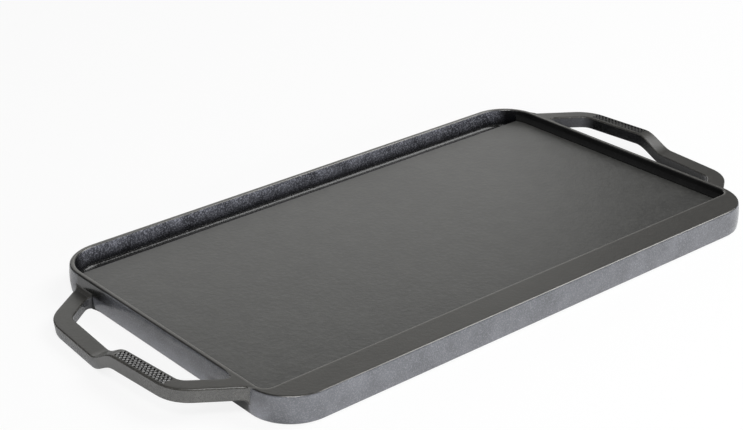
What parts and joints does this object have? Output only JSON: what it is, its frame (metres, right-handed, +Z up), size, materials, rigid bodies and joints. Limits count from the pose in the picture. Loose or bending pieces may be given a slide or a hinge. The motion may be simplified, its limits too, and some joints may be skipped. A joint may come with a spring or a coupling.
{
  "type": "reversible griddle plate",
  "caption": "Rectangular cast-iron plate with a flat griddle face, a ribbed grill face, a grease gutter on each face and a stepped loop handle at each end.",
  "frame": {"origin": "middle of the plate's length and width, on the plane that the plate rests on", "axes": "+X along the plate from handle to handle, +Y from the wide land of the flat face towards the gutter of the flat face, +Z up, out of the flat face"},
  "size_m": [0.506, 0.254, 0.019],
  "materials": {
    "seasoned_iron": "oil-seasoned sand casting, satin black"
  },
  "bodies": {
    "root": {"griddle_deck": "seasoned_iron", "front_land": "seasoned_iron", "rear_land": "seasoned_iron", "front_step": "seasoned_iron", "rear_step": "seasoned_iron", "front_wall": "seasoned_iron", "rear_wall": "seasoned_iron", "left_wall": "seasoned_iron", "right_wall": "seasoned_iron", "front_left_corner": "seasoned_iron", "front_right_corner": "seasoned_iron", "rear_left_corner": "seasoned_iron", "rear_right_corner": "seasoned_iron", "left_front_arm": "seasoned_iron", "left_front_grip": "seasoned_iron", "left_grip_step": "seasoned_iron", "left_rear_grip": "seasoned_iron", "left_rear_arm": "seasoned_iron", "right_front_arm": "seasoned_iron", "right_front_grip": "seasoned_iron", "right_grip_step": "seasoned_iron", "right_rear_grip": "seasoned_iron", "right_rear_arm": "seasoned_iron", "grill_rib_01": "seasoned_iron", "grill_rib_02": "seasoned_iron", "grill_rib_03": "seasoned_iron", "grill_rib_04": "seasoned_iron", "grill_rib_05": "seasoned_iron", "grill_rib_06": "seasoned_iron", "grill_rib_07": "seasoned_iron", "grill_rib_08": "seasoned_iron", "grill_rib_09": "seasoned_iron", "grill_rib_10": "seasoned_iron", "grill_rib_11": "seasoned_iron", "grill_rib_12": "seasoned_iron", "grill_rib_13": "seasoned_iron", "grill_rib_14": "seasoned_iron", "grill_rib_15": "seasoned_iron", "grill_rib_16": "seasoned_iron", "grill_rib_17": "seasoned_iron", "grill_rib_18": "seasoned_iron", "grill_rib_19": "seasoned_iron", "grill_rib_20": "seasoned_iron", "grill_rib_21": "seasoned_iron"}
  },
  "joints": []
}
